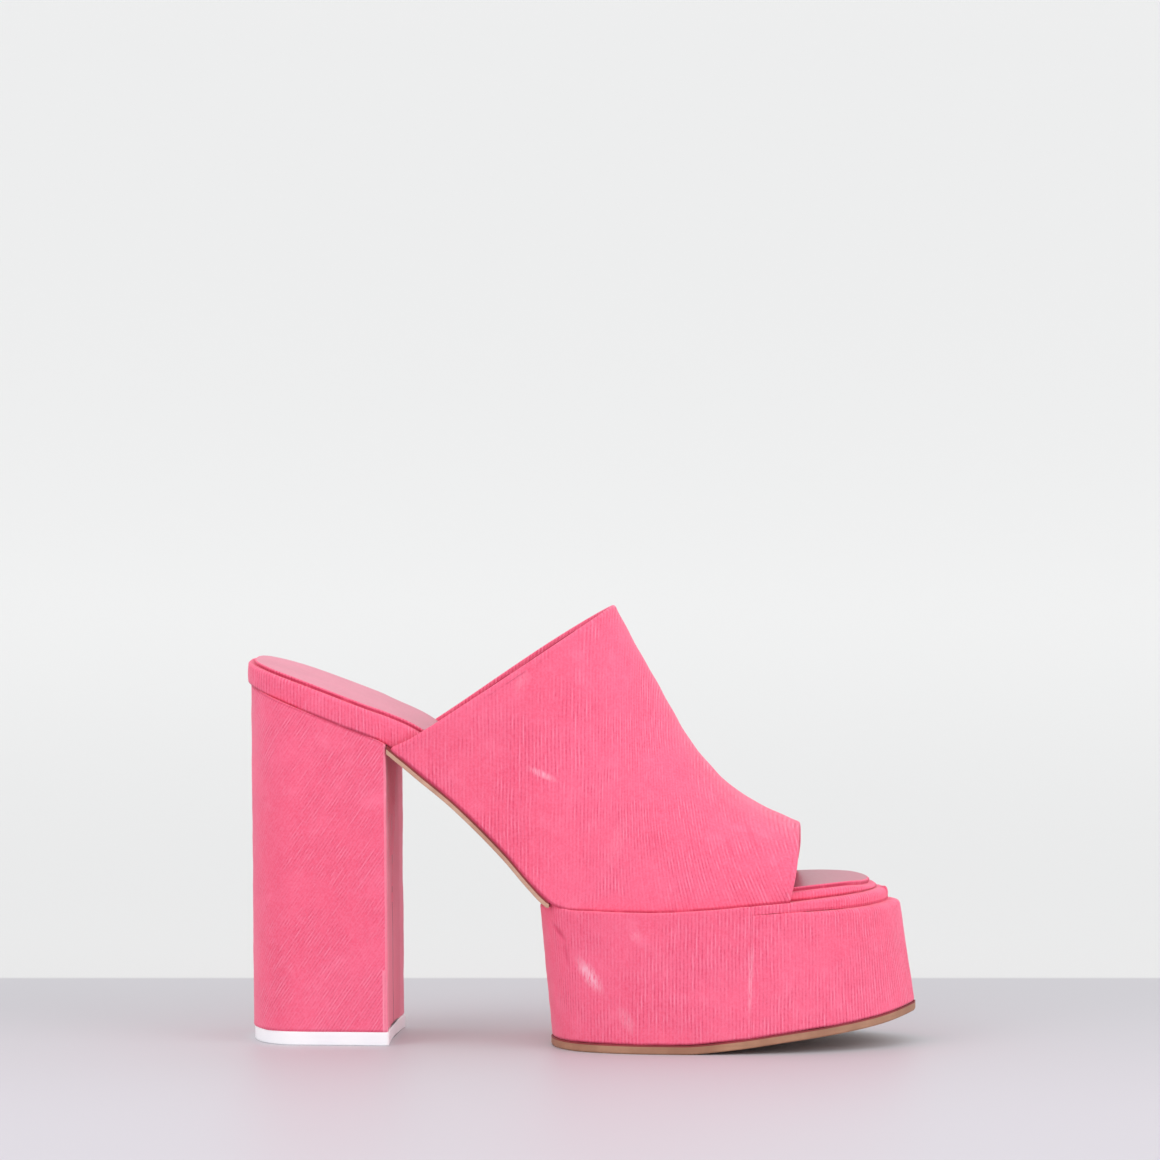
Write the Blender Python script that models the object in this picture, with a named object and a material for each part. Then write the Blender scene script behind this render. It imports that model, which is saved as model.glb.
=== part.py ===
"""A platform mule: a right shoe with a block heel, open at the back and the toe.

Lengths are in metres. +X is to the toe, +Y is to the wearer's left and +Z is up. The origin is the middle
of the heel tip's ground face. Each solid is a row of sections along the shoe, worked out from the sizes
below and from short tables of their shares.
"""

import bmesh
import bpy
import numpy as np

# The shoe as a whole
SHOE_LENGTH = 0.2265
BALL_WIDTH = 0.088
HEEL_HEIGHT = 0.1217
PLATFORM_HEIGHT = 0.0475
INSTEP_HEIGHT = 0.148
TOE_SPRING = 0.0105
PLATFORM_SHARE = 0.5563
RIM_SHARE = 0.2296

# The heel and its tip
HEEL_DEPTH = 0.0482
HEEL_WIDTH = 0.0572
HEEL_ROUNDING = 0.017
HEEL_OVERHANG = 0.00205
HEEL_LEAN = 0.0007
TIP_SETBACK = 0.0004
BREAST_HOLLOW = 0.0009
TIP_THICKNESS = 0.0046

# The soles, the layers and the upper
SOLE_THICKNESS = 0.0031
WAIST_THICKNESS = 0.0020
WAIST_OVERLAP = 0.0040
PLATFORM_TOE_LEAN = 0.0053
PLATFORM_BACK_LEAN = 0.0038
RIM_LEDGE = 0.0042
RIM_THICKNESS = 0.0042
BOARD_AT_HEEL = 0.0077
BOARD_AT_TOE = 0.0029
BOARD_NARROWING = 0.0085
INSOLE_THICKNESS = 0.0011
INSOLE_MARGIN = 0.0024
WALL = 0.0020
TOE_SKEW = 0.0036
COLLAR_DIP = 0.0011
COLLAR_RISE = 0.0009
TOE_BOW = 0.0009
EDGE = 0.0007
GAP = 0.0003

HEEL_BACK = -HEEL_DEPTH / 2 - HEEL_OVERHANG
TOE_TIP = HEEL_BACK + SHOE_LENGTH
BREAST = HEEL_DEPTH / 2
PLATFORM_LENGTH = PLATFORM_SHARE * SHOE_LENGTH
PLATFORM_BACK = TOE_TIP - PLATFORM_LENGTH
RIM_BACK = TOE_TIP - RIM_SHARE * SHOE_LENGTH
WAIST_END = PLATFORM_BACK + WAIST_OVERLAP


def table(columns, *rows):
    """A dict of named columns, each an array with one entry for every row."""
    return dict(zip(columns.split(), np.array(rows, float).T))


# The top of the heel, waist and platform: shares of the climb to the heel and of the toe spring
SEAT = table(
    "at climb spring",
    (0.000, 1.000, 0.00),
    (0.080, 0.904, 0.00),
    (0.150, 0.820, 0.00),
    (0.208, 0.750, 0.00),
    (0.239, 0.679, 0.00),
    (0.270, 0.600, 0.00),
    (0.314, 0.489, 0.00),
    (0.358, 0.363, 0.00),
    (0.398, 0.239, 0.00),
    (0.433, 0.120, 0.00),
    (0.455, 0.053, 0.00),
    (0.473, 0.015, 0.00),
    (0.497, 0.000, 0.00),
    (0.610, 0.000, 0.00),
    (0.690, 0.000, 0.08),
    (0.785, 0.000, 0.24),
    (0.870, 0.000, 0.37),
    (0.940, 0.000, 0.45),
    (1.000, 0.000, 0.53),
)

# The top of the board, in the same shares
BED = table(
    "at climb spring",
    (0.000, 0.987, 0.00),
    (0.071, 0.922, 0.00),
    (0.160, 0.829, 0.00),
    (0.213, 0.770, 0.00),
    (0.257, 0.714, 0.00),
    (0.314, 0.590, 0.00),
    (0.358, 0.450, 0.00),
    (0.402, 0.309, 0.00),
    (0.447, 0.170, 0.00),
    (0.491, 0.068, 0.00),
    (0.535, 0.020, 0.00),
    (0.580, 0.003, 0.00),
    (0.623, 0.000, 0.01),
    (0.690, 0.000, 0.08),
    (0.785, 0.000, 0.23),
    (0.870, 0.000, 0.355),
    (0.905, 0.000, 0.37),
    (0.940, 0.000, 0.345),
    (1.000, 0.000, 0.33),
)

# The walking face's rise towards the toe
SPRING = table(
    "at rise",
    (0.000, 0.00),
    (0.665, 0.00),
    (0.747, 0.15),
    (0.818, 0.35),
    (0.889, 0.54),
    (0.955, 0.76),
    (1.000, 1.00),
)

# The foot's outline, as shares of the ball width to the near and far sides
FOOT = table(
    "at near far",
    (0.000, -0.055, 0.055),
    (0.004, -0.135, 0.135),
    (0.018, -0.215, 0.215),
    (0.040, -0.272, 0.272),
    (0.071, -0.308, 0.308),
    (0.115, -0.325, 0.325),
    (0.160, -0.330, 0.330),
    (0.215, -0.327, 0.325),
    (0.274, -0.318, 0.307),
    (0.327, -0.312, 0.290),
    (0.387, -0.323, 0.290),
    (0.433, -0.352, 0.312),
    (0.469, -0.390, 0.344),
    (0.504, -0.432, 0.380),
    (0.539, -0.466, 0.409),
    (0.579, -0.492, 0.432),
    (0.623, -0.509, 0.447),
    (0.672, -0.511, 0.450),
    (0.725, -0.500, 0.443),
    (0.778, -0.470, 0.428),
    (0.826, -0.432, 0.402),
    (0.857, -0.388, 0.373),
    (0.888, -0.325, 0.330),
    (0.915, -0.250, 0.277),
    (0.935, -0.170, 0.212),
    (0.948, -0.090, 0.148),
    (0.9545, -0.010, 0.080),
)

# The platform's outline, along its own length from its back
PLATFORM = table(
    "at near far",
    (0.000, -0.190, 0.160),
    (0.007, -0.255, 0.222),
    (0.025, -0.325, 0.290),
    (0.054, -0.383, 0.347),
    (0.094, -0.433, 0.393),
    (0.150, -0.478, 0.428),
    (0.221, -0.513, 0.453),
    (0.310, -0.532, 0.467),
    (0.406, -0.534, 0.469),
    (0.502, -0.523, 0.462),
    (0.598, -0.496, 0.448),
    (0.685, -0.457, 0.425),
    (0.764, -0.405, 0.391),
    (0.837, -0.337, 0.343),
    (0.893, -0.264, 0.289),
    (0.937, -0.189, 0.230),
    (0.969, -0.112, 0.169),
    (0.989, -0.041, 0.114),
    (1.000, 0.011, 0.068),
)

# The upper's arches, from the topline to the toe edge: each stands on the base line and leans to the ridge
ARCHES = table(
    "base ridge rise fullness",
    (0.224, 0.5495, 1.000, 4.3),
    (0.292, 0.5670, 0.923, 3.8),
    (0.367, 0.5900, 0.826, 3.3),
    (0.442, 0.6135, 0.731, 2.9),
    (0.513, 0.6375, 0.638, 2.6),
    (0.575, 0.6630, 0.542, 2.4),
    (0.637, 0.6950, 0.447, 2.3),
    (0.698, 0.7370, 0.366, 2.2),
    (0.760, 0.7820, 0.310, 2.2),
    (0.8245, 0.8290, 0.262, 2.2),
)


def smooth(xs, ys, x):
    """A curve through the points that never overshoots them, level past both ends."""
    x = np.clip(np.asarray(x, float), xs[0], xs[-1])
    step = np.diff(xs)
    slope = np.diff(ys) / step
    tangent = np.zeros_like(ys)
    turns = slope[:-1] * slope[1:] > 0
    mean = np.where(turns, 2 / (1 / np.where(turns, slope[:-1], 1) + 1 / np.where(turns, slope[1:], 1)), 0)
    tangent[1:-1] = mean
    tangent[0] = slope[0]
    tangent[-1] = slope[-1]
    i = np.clip(np.searchsorted(xs, x, side="right") - 1, 0, len(step) - 1)
    t = (x - xs[i]) / step[i]
    start = (1 + 2 * t) * (1 - t) ** 2 * ys[i] + t * (1 - t) ** 2 * step[i] * tangent[i]
    end = t**2 * (3 - 2 * t) * ys[i + 1] + t**2 * (t - 1) * step[i] * tangent[i + 1]
    return start + end


def share(x):
    return (np.asarray(x, float) - HEEL_BACK) / SHOE_LENGTH


def place(at):
    return HEEL_BACK + np.asarray(at, float) * SHOE_LENGTH


def column(rows, name, x):
    return smooth(rows["at"], rows[name], share(x))


def ramp(x, low, high):
    """0 before low, 1 past high and a soft step between."""
    t = np.clip((np.asarray(x, float) - low) / (high - low), 0, 1)
    return t * t * (3 - 2 * t)


def seat(x):
    """Height of what the board and the upper stand on."""
    climb = column(SEAT, "climb", x) * (HEEL_HEIGHT - PLATFORM_HEIGHT)
    return PLATFORM_HEIGHT + climb + column(SEAT, "spring", x) * TOE_SPRING


def board_top(x):
    ball = PLATFORM_HEIGHT + GAP + BOARD_AT_TOE
    heel = HEEL_HEIGHT + GAP + BOARD_AT_HEEL
    return ball + column(BED, "climb", x) * (heel - ball) + column(BED, "spring", x) * TOE_SPRING


def ground(x):
    """Height of the sole's walking face."""
    return column(SPRING, "rise", x) * TOE_SPRING


def steepness(height, x):
    """What a thickness square to a sloping face measures straight up."""
    slope = (height(x + 0.001) - height(x - 0.001)) / 0.002
    return np.sqrt(1 + slope**2)


def insole_top(x):
    return board_top(x) + GAP + INSOLE_THICKNESS * steepness(board_top, x)


def waist_low(x):
    hanging = seat(x) - GAP - WAIST_THICKNESS * steepness(seat, x)
    return np.maximum(hanging, PLATFORM_HEIGHT + GAP)


def rim_thickness(x):
    return RIM_THICKNESS * (0.62 + 0.38 * ramp(x, RIM_BACK, TOE_TIP - 0.01))


def platform_top(x):
    """Level under the waist sole's end, then against the board and the upper, then lower by the rim."""
    past_waist = ramp(x, WAIST_END + 4 * GAP, WAIST_END + 8 * GAP)
    under_rim = ramp(x, RIM_BACK - 0.0008, RIM_BACK - 0.0002)
    top = PLATFORM_HEIGHT + (seat(x) - PLATFORM_HEIGHT) * past_waist
    return top - (rim_thickness(x) + GAP) * under_rim


def stations(start, end, count, back=0.0, front=0.0):
    """Places from start to end, drawn closer at a rounded back or front."""
    t = np.linspace(0, 1, count) ** (1 + back)
    t = 1 - (1 - t) ** (1 + front)
    return start + (end - start) * t


def plan(rows, xs, along, columns):
    """A grid of places in plan, a row across the shoe for each station."""
    near = smooth(rows["at"], rows["near"], along) * BALL_WIDTH
    far = smooth(rows["at"], rows["far"], along) * BALL_WIDTH
    return across(np.stack([xs, near], 1), np.stack([xs, far], 1), columns)


def foot_plan(xs, columns=4):
    return plan(FOOT, xs, share(xs), columns)


def platform_plan(xs, columns=4):
    return plan(PLATFORM, xs, (xs - PLATFORM_BACK) / PLATFORM_LENGTH, columns)


def across(near, far, columns, back_bow=0.0, front_bow=0.0):
    v = np.linspace(0, 1, columns + 1)[None, :, None]
    grid = near[:, None, :] * (1 - v) + far[:, None, :] * v
    bow = 1 - (2 * v[0, :, 0] - 1) ** 2
    grid[0, :, 0] -= back_bow * bow
    grid[-1, :, 0] += front_bow * bow
    return grid


def border(rows, columns):
    """Row and column numbers once round the grid: near side, front, far side, back."""
    near = [(i, 0) for i in range(rows)]
    front = [(rows - 1, j) for j in range(1, columns)]
    far = [(i, columns) for i in range(rows - 1, -1, -1)]
    back = [(0, j) for j in range(columns - 1, 0, -1)]
    return np.array(near + front + far + back).T


def drawn_in(grid, by):
    """The grid with its border moved inwards, and its rows spread evenly again."""
    rows, columns = grid.shape[0], grid.shape[1] - 1
    i, j = border(rows, columns)
    loop = grid[i, j]
    ahead = np.roll(loop, -1, 0) - loop
    ahead /= np.linalg.norm(ahead, axis=1)[:, None]
    behind = np.roll(ahead, 1, 0)
    mean = ahead + behind
    mean /= np.linalg.norm(mean, axis=1)[:, None]
    stretch = 1 / np.clip((mean * ahead).sum(1), 0.6, 1)
    inward = np.stack([-mean[:, 1], mean[:, 0]], 1) * stretch[:, None]
    by = np.broadcast_to(by, loop.shape[:1])
    moved = loop + inward * by[:, None]
    out = np.empty_like(grid)
    out[i, j] = moved
    inner = across(out[:, 0], out[:, -1], columns)
    out[1:-1] = inner[1:-1]
    return out


def heights(grid, height):
    return np.concatenate([grid, height(grid[..., 0])[..., None]], 2)


def layer(name, low, high, bottom, top, colour, roughness, edge=EDGE, steps=1):
    """A solid between two plan grids, with its side walls' edges eased."""
    rows, columns = low.shape[0], low.shape[1] - 1
    i, j = border(rows, columns)
    under = heights(drawn_in(low, edge), bottom)
    over = heights(drawn_in(high, edge), top)
    foot = heights(low, bottom)[i, j]
    head = heights(high, top)[i, j]
    foot[:, 2] += edge
    head[:, 2] -= edge
    mesh = bmesh.new()
    under_verts = [[mesh.verts.new(p) for p in row] for row in under]
    over_verts = [[mesh.verts.new(p) for p in row] for row in over]
    loops = [[under_verts[a][b] for a, b in zip(i, j)]]
    for t in np.linspace(0, 1, steps + 1):
        loops.append([mesh.verts.new(p) for p in foot * (1 - t) + head * t])
    loops.append([over_verts[a][b] for a, b in zip(i, j)])
    for grid in (under_verts, over_verts):
        for a in range(rows - 1):
            for b in range(columns):
                mesh.faces.new((grid[a][b], grid[a + 1][b], grid[a + 1][b + 1], grid[a][b + 1]))
    count = len(i)
    for lower, upper in zip(loops[:-1], loops[1:]):
        for k in range(count):
            after = (k + 1) % count
            mesh.faces.new((lower[k], lower[after], upper[after], upper[k]))
    return finished(name, mesh, colour, roughness)


def finished(name, mesh, colour, roughness):
    """Turns a bmesh into a shaded object with a material of its own."""
    bmesh.ops.recalc_face_normals(mesh, faces=mesh.faces)
    bmesh.ops.triangulate(mesh, faces=mesh.faces)
    data = bpy.data.meshes.new(name)
    mesh.to_mesh(data)
    mesh.free()
    data.shade_smooth()
    data.set_sharp_from_angle(angle=np.radians(35))
    thing = bpy.data.objects.new(name, data)
    bpy.context.scene.collection.objects.link(thing)
    material = bpy.data.materials.new(name)
    material.use_nodes = True
    shader = material.node_tree.nodes["Principled BSDF"]
    shader.inputs["Base Color"].default_value = (*colour, 1)
    shader.inputs["Roughness"].default_value = roughness
    shader.inputs["Metallic"].default_value = 0
    data.materials.append(material)
    return thing


PINK_CLOTH = (0.80, 0.155, 0.275)
PINK_LEATHER = (0.70, 0.26, 0.34)
TAN_LEATHER = (0.50, 0.29, 0.165)
WHITE_RUBBER = (0.86, 0.86, 0.86)


def heel_plan(back, columns=6):
    """The heel's D in plan, moved back by a length: the back is round and the breast is straight."""
    rounded = (1 - np.cos(np.linspace(0.10, 1, 10) * np.pi / 2)) * HEEL_ROUNDING
    straight = np.linspace(HEEL_ROUNDING, HEEL_DEPTH - EDGE, 7)[1:]
    s = np.concatenate([rounded, straight, [HEEL_DEPTH]])
    turn = np.clip(1 - s / HEEL_ROUNDING, 0, 1)
    half = HEEL_WIDTH / 2 * (1 - turn**2.2) ** (1 / 2.2)
    half[-1] -= EDGE
    xs = s - HEEL_DEPTH / 2 - back
    return across(np.stack([xs, -half], 1), np.stack([xs, half], 1), columns, 0.0003, -BREAST_HOLLOW)


def build_heel():
    flat = heel_plan(0)
    layer("heel_tip", flat, flat, lambda x: 0 * x, lambda x: 0 * x + TIP_THICKNESS, WHITE_RUBBER, 0.45, edge=0.0004)
    low = lambda x: 0 * x + TIP_THICKNESS + GAP
    foot = heel_plan(TIP_SETBACK)
    head = heel_plan(TIP_SETBACK + HEEL_LEAN)
    layer("heel_block", foot, head, low, seat, PINK_CLOTH, 0.9, edge=0.0005, steps=4)


def build_soles():
    foot = sheared_back(platform_plan(stations(PLATFORM_BACK, TOE_TIP, 40, 0.5, 0.7)))
    sole_top = lambda x: ground(x) + SOLE_THICKNESS
    layer("outsole", foot, foot, ground, sole_top, TAN_LEATHER, 0.5, edge=0.0006)
    xs = stations(BREAST - TIP_SETBACK - HEEL_LEAN + GAP, WAIST_END, 22)
    strip = foot_plan(xs)
    layer("waist_sole", strip, strip, waist_low, lambda x: seat(x) - GAP, TAN_LEATHER, 0.5, edge=0.0002)


def build_platform():
    xs = stations(PLATFORM_BACK, TOE_TIP, 44, 0.5, 0.8)
    steps = [WAIST_END + 2 * GAP, WAIST_END + 8 * GAP, RIM_BACK - 0.0008, RIM_BACK - 0.0002]
    xs = np.sort(np.concatenate([xs, steps]))
    base = platform_plan(xs)
    low = drawn_in(sheared_back(base), 0.0004)
    high = base.copy()
    high[..., 0] -= toe_lean(base[..., 0])
    bottom = lambda x: ground(x) + SOLE_THICKNESS + GAP
    layer("platform", low, high, bottom, platform_top, PINK_CLOTH, 0.9, steps=2)
    xs = stations(RIM_BACK, TOE_TIP, 24, 0.0, 0.9)
    rim = platform_plan(xs)
    rim[..., 0] -= toe_lean(rim[..., 0])
    i, j = border(*np.array(rim.shape[:2]) - (0, 1))
    ledge = RIM_LEDGE * (0.12 + 0.88 * ramp(xs[i], RIM_BACK, TOE_TIP))
    ledge[i == 0] = 0
    rim = drawn_in(rim, ledge)
    layer("platform_rim", rim, rim, lambda x: seat(x) - rim_thickness(x), seat, PINK_CLOTH, 0.9, edge=0.0003)


def sheared_back(grid):
    """The platform's outline at the ground, where its back face stands further forward than at its top."""
    low = grid.copy()
    low[..., 0] += PLATFORM_BACK_LEAN * (1 - ramp(grid[..., 0], PLATFORM_BACK, PLATFORM_BACK + 0.018))
    return low


def toe_lean(x):
    return PLATFORM_TOE_LEAN * np.clip((x - place(0.78)) / (TOE_TIP - place(0.78)), 0, 1) ** 2


def build_bed():
    xs = stations(HEEL_BACK, place(0.9545), 60, 0.5, 0.6)
    foot = foot_plan(xs)
    upper_start = place(ARCHES["base"][0])
    i, j = border(len(xs), 4)
    inside = (WALL + 4 * GAP) * ramp(xs[i], upper_start - BOARD_NARROWING, upper_start - GAP)
    inside += 5 * GAP * ramp(xs[i], place(0.38), place(0.43)) * (1 - ramp(xs[i], place(0.50), place(0.55)))
    board = drawn_in(foot, inside)
    layer("board", board, board, lambda x: seat(x) + GAP, board_top, PINK_CLOTH, 0.9, edge=0.0006)
    sock = drawn_in(board, INSOLE_MARGIN)
    layer("insole", sock, sock, lambda x: board_top(x) + GAP, insole_top, PINK_LEATHER, 0.45, edge=0.0004)


def arch(base, ridge, rise, fullness, columns):
    """One arch of the upper: evenly spaced points from the near base over the ridge to the far base."""
    x = place(base)
    near = np.array([x, column(FOOT, "near", x) * BALL_WIDTH, seat(x) + GAP])
    x = x - TOE_SKEW * ramp(base, 0.6, 0.83)
    far = np.array([x, column(FOOT, "far", x) * BALL_WIDTH, seat(x) + GAP])
    middle = (near + far) / 2
    crown = np.array([place(ridge), middle[1] * 0.6, PLATFORM_HEIGHT + rise * (INSTEP_HEIGHT - PLATFORM_HEIGHT)])
    angle = np.linspace(0, np.pi, 721)[:, None]
    aside = -np.cos(angle)
    up = np.sin(angle) ** (2 / fullness)
    lean = crown - middle
    outwards = np.array([-lean[2], 0, lean[0]]) / np.hypot(lean[0], lean[2])
    rise_far = np.where(aside < 0, 0, COLLAR_RISE) * np.sin(np.pi * up**1.5)
    bow = (rise_far - COLLAR_DIP * np.sin(np.pi * up**0.4)) * (1 - ramp(base, 0.224, 0.42))
    bow -= TOE_BOW * np.sin(np.pi * up) * ramp(base, 0.70, 0.8245)
    dense = middle + (far - near) / 2 * aside + lean * up + outwards * bow
    run = np.concatenate([[0], np.cumsum(np.linalg.norm(np.diff(dense, axis=0), axis=1))])
    even = np.linspace(0, run[-1], columns + 1)
    return np.stack([np.interp(even, run, dense[:, k]) for k in range(3)], 1)


def build_upper(rings=26, columns=32):
    """The band: a hollow wall with its back, its toe and its underside open."""
    rows = np.linspace(0, len(ARCHES["base"]) - 1, rings)
    number = np.arange(len(ARCHES["base"]))
    shape = {name: smooth(number, values, rows) for name, values in ARCHES.items()}
    outer = np.array([arch(*(shape[k][r] for k in ("base", "ridge", "rise", "fullness")), columns) for r in range(rings)])
    along = np.gradient(outer, axis=0)
    over = np.gradient(outer, axis=1)
    normal = np.cross(along, over)
    normal /= np.linalg.norm(normal, axis=2)[..., None]
    inner = outer - normal * WALL
    for side in (0, -1):
        inner[:, side, 2] = seat(inner[:, side, 0]) + GAP
    mesh = bmesh.new()
    skins = [[[mesh.verts.new(p) for p in row] for row in skin] for skin in (outer, inner)]
    for skin in skins:
        for a in range(rings - 1):
            for b in range(columns):
                mesh.faces.new((skin[a][b], skin[a + 1][b], skin[a + 1][b + 1], skin[a][b + 1]))
    i, j = border(rings, columns)
    for k in range(len(i)):
        after = (k + 1) % len(i)
        out = [skins[0][i[n]][j[n]] for n in (k, after)]
        back = [skins[1][i[n]][j[n]] for n in (after, k)]
        mesh.faces.new(out + back)
    return finished("upper", mesh, PINK_CLOTH, 0.9)


for old in list(bpy.data.objects):
    bpy.data.objects.remove(old)
build_heel()
build_soles()
build_platform()
build_bed()
build_upper()
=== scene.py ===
"""A platform mule in pink ribbed cloth: the detailed shoe, its floor, its lights and its camera.

Lengths are in metres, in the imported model's own frame: +X to the toe, +Y to the wearer's left, +Z up.
"""

import math

import bpy
import numpy as np
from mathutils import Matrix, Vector


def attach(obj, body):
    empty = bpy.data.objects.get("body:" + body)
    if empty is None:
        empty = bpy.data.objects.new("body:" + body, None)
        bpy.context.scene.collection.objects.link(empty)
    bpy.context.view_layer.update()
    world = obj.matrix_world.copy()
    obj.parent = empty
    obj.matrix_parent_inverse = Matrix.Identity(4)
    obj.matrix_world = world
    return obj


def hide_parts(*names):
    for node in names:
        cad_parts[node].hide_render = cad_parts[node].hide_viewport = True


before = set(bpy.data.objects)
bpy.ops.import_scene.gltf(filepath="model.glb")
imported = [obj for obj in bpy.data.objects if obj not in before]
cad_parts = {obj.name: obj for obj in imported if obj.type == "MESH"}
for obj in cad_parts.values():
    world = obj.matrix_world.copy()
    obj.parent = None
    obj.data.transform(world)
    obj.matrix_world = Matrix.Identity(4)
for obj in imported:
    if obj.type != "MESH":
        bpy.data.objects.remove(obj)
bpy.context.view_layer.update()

# Sizes of the shoe
SHOE_LENGTH = 0.2265
BALL_WIDTH = 0.088
HEEL_HEIGHT = 0.1217
PLATFORM_HEIGHT = 0.0475
INSTEP_HEIGHT = 0.148
TOE_SPRING = 0.0105
PLATFORM_LENGTH = 0.5563 * SHOE_LENGTH
RIM_LENGTH = 0.2296 * SHOE_LENGTH
HEEL_DEPTH = 0.0482
HEEL_WIDTH = 0.0572
HEEL_ROUNDING = 0.017
HEEL_SQUARENESS = 2.2
BREAST_CORNER = 0.0007
HEEL_OVERHANG = 0.00205
HEEL_LEAN = 0.0007
TIP_SETBACK = 0.0004
BREAST_HOLLOW = 0.0009
TIP_THICKNESS = 0.0046
SOLE_THICKNESS = 0.0031
WAIST_THICKNESS = 0.0020
WAIST_OVERLAP = 0.0040
PLATFORM_TOE_LEAN = 0.0053
PLATFORM_BACK_LEAN = 0.0038
RIM_LEDGE = 0.0042
RIM_THICKNESS = 0.0042
BOARD_AT_HEEL = 0.0077
BOARD_AT_TOE = 0.0029
BOARD_NARROWING = 0.0085
INSOLE_THICKNESS = 0.0011
INSOLE_MARGIN = 0.0024
TOE_ROUNDING = 0.0019
BED_TIP_DROP = 0.0009
WALL = 0.0020
TOE_SKEW = 0.0036
COLLAR_DIP = 0.0011
COLLAR_RISE = 0.0009
TOE_BOW = 0.0009
GAP = 0.0003

# The end of the foot's outline, as a share of the shoe's length
BED_END = 0.9545

# How far along a slab's rounded edge, from its flat face, the seam lines of painted shade run
SEAM_INSET = 0.0006

# An end narrower than this share of the widest place is drawn in as a curve
NARROW_END = 0.25

# Pitches of the cloth's ribs and weave, and the slant of the heel's twill
RIB_PITCH = 0.00125
BREAST_PITCH = 0.0016
TWILL_PITCH = 0.00098
TWILL_SLANT = 0.95
WEAVE_PITCH = 0.00068

# The upper's edges: where its folded cloth ends, how far they round over and where the lining starts
HEM_FROM_TOPLINE = 0.0021
HEM_FROM_TOE = 0.0022
UPPER_ROUNDING = 0.0011
LINING_INSET = 0.0014

HEEL_BACK = -HEEL_DEPTH / 2 - HEEL_OVERHANG
TOE_TIP = HEEL_BACK + SHOE_LENGTH
BREAST = HEEL_DEPTH / 2 - TIP_SETBACK - HEEL_LEAN
PLATFORM_BACK = TOE_TIP - PLATFORM_LENGTH
RIM_BACK = TOE_TIP - RIM_LENGTH
WAIST_END = PLATFORM_BACK + WAIST_OVERLAP

# Where the platform's top steps down for the waist sole and for the rim
WAIST_STEP = (WAIST_END - 0.0004, WAIST_END + 0.0004)
RIM_STEP = (RIM_BACK - 0.0008, RIM_BACK - 0.0002)


def table(columns, *rows):
    """A dict of named columns, each an array with one entry for every row."""
    return dict(zip(columns.split(), np.array(rows, float).T))


# The top of the heel, waist and platform: shares of the climb to the heel and of the toe spring
SEAT = table(
    "at climb spring",
    (0.000, 1.000, 0.00),
    (0.080, 0.904, 0.00),
    (0.150, 0.820, 0.00),
    (0.208, 0.750, 0.00),
    (0.239, 0.679, 0.00),
    (0.270, 0.600, 0.00),
    (0.314, 0.489, 0.00),
    (0.358, 0.363, 0.00),
    (0.398, 0.239, 0.00),
    (0.433, 0.120, 0.00),
    (0.455, 0.053, 0.00),
    (0.473, 0.015, 0.00),
    (0.497, 0.000, 0.00),
    (0.610, 0.000, 0.00),
    (0.690, 0.000, 0.08),
    (0.785, 0.000, 0.24),
    (0.870, 0.000, 0.37),
    (0.940, 0.000, 0.45),
    (1.000, 0.000, 0.53),
)

# The top of the board, in the same shares
BED = table(
    "at climb spring",
    (0.000, 0.987, 0.00),
    (0.071, 0.922, 0.00),
    (0.160, 0.829, 0.00),
    (0.213, 0.770, 0.00),
    (0.257, 0.714, 0.00),
    (0.314, 0.590, 0.00),
    (0.358, 0.450, 0.00),
    (0.402, 0.309, 0.00),
    (0.447, 0.170, 0.00),
    (0.491, 0.068, 0.00),
    (0.535, 0.020, 0.00),
    (0.580, 0.003, 0.00),
    (0.623, 0.000, 0.01),
    (0.690, 0.000, 0.08),
    (0.785, 0.000, 0.23),
    (0.870, 0.000, 0.355),
    (0.905, 0.000, 0.37),
    (0.940, 0.000, 0.345),
    (1.000, 0.000, 0.33),
)

# The walking face's rise towards the toe
SPRING = table(
    "at rise",
    (0.000, 0.00),
    (0.665, 0.00),
    (0.747, 0.15),
    (0.818, 0.35),
    (0.889, 0.54),
    (0.955, 0.76),
    (1.000, 1.00),
)

# The foot's outline, as shares of the ball width to the near and far sides
FOOT = table(
    "at near far",
    (0.000, -0.055, 0.055),
    (0.004, -0.135, 0.135),
    (0.018, -0.215, 0.215),
    (0.040, -0.272, 0.272),
    (0.071, -0.308, 0.308),
    (0.115, -0.325, 0.325),
    (0.160, -0.330, 0.330),
    (0.215, -0.327, 0.325),
    (0.274, -0.318, 0.307),
    (0.327, -0.312, 0.290),
    (0.387, -0.323, 0.290),
    (0.433, -0.352, 0.312),
    (0.469, -0.390, 0.344),
    (0.504, -0.432, 0.380),
    (0.539, -0.466, 0.409),
    (0.579, -0.492, 0.432),
    (0.623, -0.509, 0.447),
    (0.672, -0.511, 0.450),
    (0.725, -0.500, 0.443),
    (0.778, -0.470, 0.428),
    (0.826, -0.432, 0.402),
    (0.857, -0.388, 0.373),
    (0.888, -0.325, 0.330),
    (0.915, -0.250, 0.277),
    (0.935, -0.170, 0.212),
    (0.948, -0.090, 0.148),
    (0.9545, -0.010, 0.080),
)

# The platform's outline, along its own length from its back
PLATFORM = table(
    "at near far",
    (0.000, -0.190, 0.160),
    (0.007, -0.255, 0.222),
    (0.025, -0.325, 0.290),
    (0.054, -0.383, 0.347),
    (0.094, -0.433, 0.393),
    (0.150, -0.478, 0.428),
    (0.221, -0.513, 0.453),
    (0.310, -0.532, 0.467),
    (0.406, -0.534, 0.469),
    (0.502, -0.523, 0.462),
    (0.598, -0.496, 0.448),
    (0.685, -0.457, 0.425),
    (0.764, -0.405, 0.391),
    (0.837, -0.337, 0.343),
    (0.893, -0.264, 0.289),
    (0.937, -0.189, 0.230),
    (0.969, -0.112, 0.169),
    (0.989, -0.041, 0.114),
    (1.000, 0.011, 0.068),
)

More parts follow.
